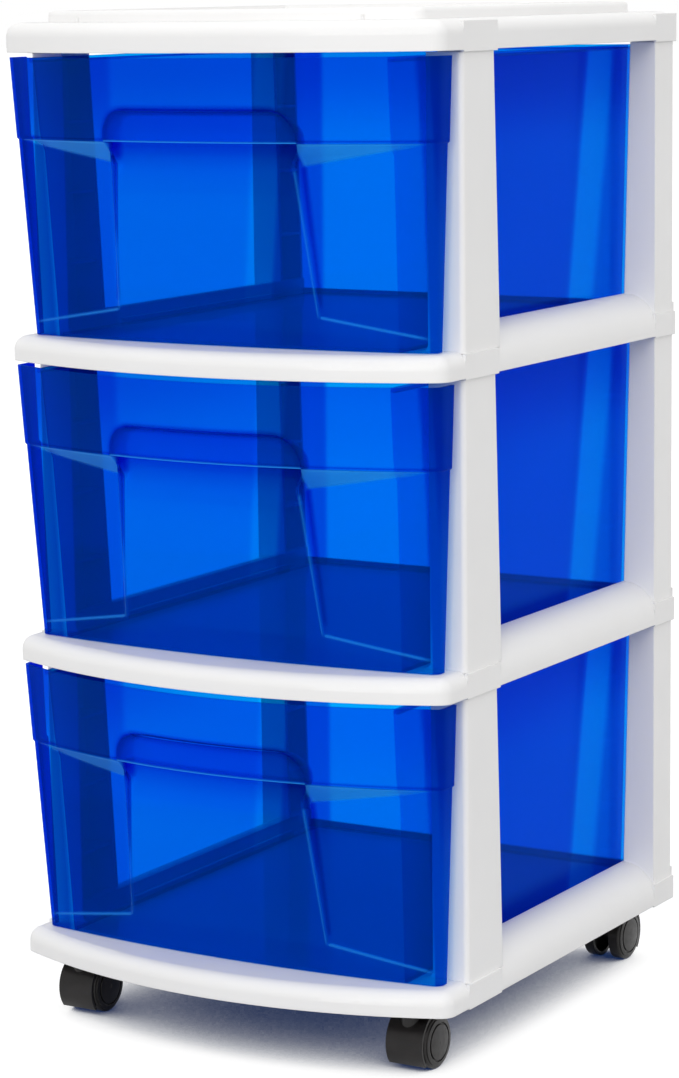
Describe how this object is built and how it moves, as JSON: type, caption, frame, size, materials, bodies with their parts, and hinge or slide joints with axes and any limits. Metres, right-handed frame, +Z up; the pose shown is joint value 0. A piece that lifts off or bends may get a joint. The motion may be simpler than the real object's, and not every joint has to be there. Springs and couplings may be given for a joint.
{
  "type": "drawer tower",
  "caption": "Free-standing tower of bow-fronted tinted plastic drawers in stacked white frames, under a flat cover, on twin-wheel swivel casters.",
  "frame": {"origin": "on the floor, under the middle of the tower's bounding box", "axes": "+Z up, drawers open towards -Y, +X to the viewer's right when the drawers are seen from the front"},
  "size_m": [0.308, 0.3524, 0.635],
  "materials": {
    "white_plastic": "fine satin moulding",
    "tinted_plastic": "glossy see-through tinted moulding",
    "caster_plastic": "satin black moulding",
    "steel": "drawn rod"
  },
  "bodies": {
    "tower": {"top_cover": "white_plastic", "frame_top": "white_plastic", "frame_middle": "white_plastic", "frame_bottom": "white_plastic", "stem_front_left": "steel", "stem_front_right": "steel", "stem_back_left": "steel", "stem_back_right": "steel"},
    "drawer_top": {"drawer_top": "tinted_plastic"},
    "drawer_middle": {"drawer_middle": "tinted_plastic"},
    "drawer_bottom": {"drawer_bottom": "tinted_plastic"},
    "caster_front_left": {"hood_front_left": "caster_plastic", "axle_front_left": "steel"},
    "wheel_front_left_l": {"wheel_front_left_l": "caster_plastic"},
    "wheel_front_left_r": {"wheel_front_left_r": "caster_plastic"},
    "caster_front_right": {"hood_front_right": "caster_plastic", "axle_front_right": "steel"},
    "wheel_front_right_l": {"wheel_front_right_l": "caster_plastic"},
    "wheel_front_right_r": {"wheel_front_right_r": "caster_plastic"},
    "caster_back_left": {"hood_back_left": "caster_plastic", "axle_back_left": "steel"},
    "wheel_back_left_l": {"wheel_back_left_l": "caster_plastic"},
    "wheel_back_left_r": {"wheel_back_left_r": "caster_plastic"},
    "caster_back_right": {"hood_back_right": "caster_plastic", "axle_back_right": "steel"},
    "wheel_back_right_l": {"wheel_back_right_l": "caster_plastic"},
    "wheel_back_right_r": {"wheel_back_right_r": "caster_plastic"}
  },
  "joints": [
    {"name": "drawer_top_slide", "type": "slide", "parent": "tower", "child": "drawer_top", "axis": [0, -1, 0], "range_m": [0, 0.23]},
    {"name": "drawer_middle_slide", "type": "slide", "parent": "tower", "child": "drawer_middle", "axis": [0, -1, 0], "range_m": [0, 0.23]},
    {"name": "drawer_bottom_slide", "type": "slide", "parent": "tower", "child": "drawer_bottom", "axis": [0, -1, 0], "range_m": [0, 0.23]},
    {"name": "swivel_front_left", "type": "hinge", "parent": "tower", "child": "caster_front_left", "pos_m": [-0.12, -0.12625, 0.039], "axis": [0, 0, 1], "continuous": true},
    {"name": "roll_front_left_l", "type": "hinge", "parent": "caster_front_left", "child": "wheel_front_left_l", "pos_m": [-0.12, -0.11725, 0.0165], "axis": [1, 0, 0], "continuous": true},
    {"name": "roll_front_left_r", "type": "hinge", "parent": "caster_front_left", "child": "wheel_front_left_r", "pos_m": [-0.12, -0.11725, 0.0165], "axis": [1, 0, 0], "continuous": true},
    {"name": "swivel_front_right", "type": "hinge", "parent": "tower", "child": "caster_front_right", "pos_m": [0.12, -0.12625, 0.039], "axis": [0, 0, 1], "continuous": true},
    {"name": "roll_front_right_l", "type": "hinge", "parent": "caster_front_right", "child": "wheel_front_right_l", "pos_m": [0.12, -0.11725, 0.0165], "axis": [1, 0, 0], "continuous": true},
    {"name": "roll_front_right_r", "type": "hinge", "parent": "caster_front_right", "child": "wheel_front_right_r", "pos_m": [0.12, -0.11725, 0.0165], "axis": [1, 0, 0], "continuous": true},
    {"name": "swivel_back_left", "type": "hinge", "parent": "tower", "child": "caster_back_left", "pos_m": [-0.12, 0.15775, 0.039], "axis": [0, 0, 1], "continuous": true},
    {"name": "roll_back_left_l", "type": "hinge", "parent": "caster_back_left", "child": "wheel_back_left_l", "pos_m": [-0.12, 0.14875, 0.0165], "axis": [1, 0, 0], "continuous": true},
    {"name": "roll_back_left_r", "type": "hinge", "parent": "caster_back_left", "child": "wheel_back_left_r", "pos_m": [-0.12, 0.14875, 0.0165], "axis": [1, 0, 0], "continuous": true},
    {"name": "swivel_back_right", "type": "hinge", "parent": "tower", "child": "caster_back_right", "pos_m": [0.12, 0.15775, 0.039], "axis": [0, 0, 1], "continuous": true},
    {"name": "roll_back_right_l", "type": "hinge", "parent": "caster_back_right", "child": "wheel_back_right_l", "pos_m": [0.12, 0.14875, 0.0165], "axis": [1, 0, 0], "continuous": true},
    {"name": "roll_back_right_r", "type": "hinge", "parent": "caster_back_right", "child": "wheel_back_right_r", "pos_m": [0.12, 0.14875, 0.0165], "axis": [1, 0, 0], "continuous": true}
  ]
}
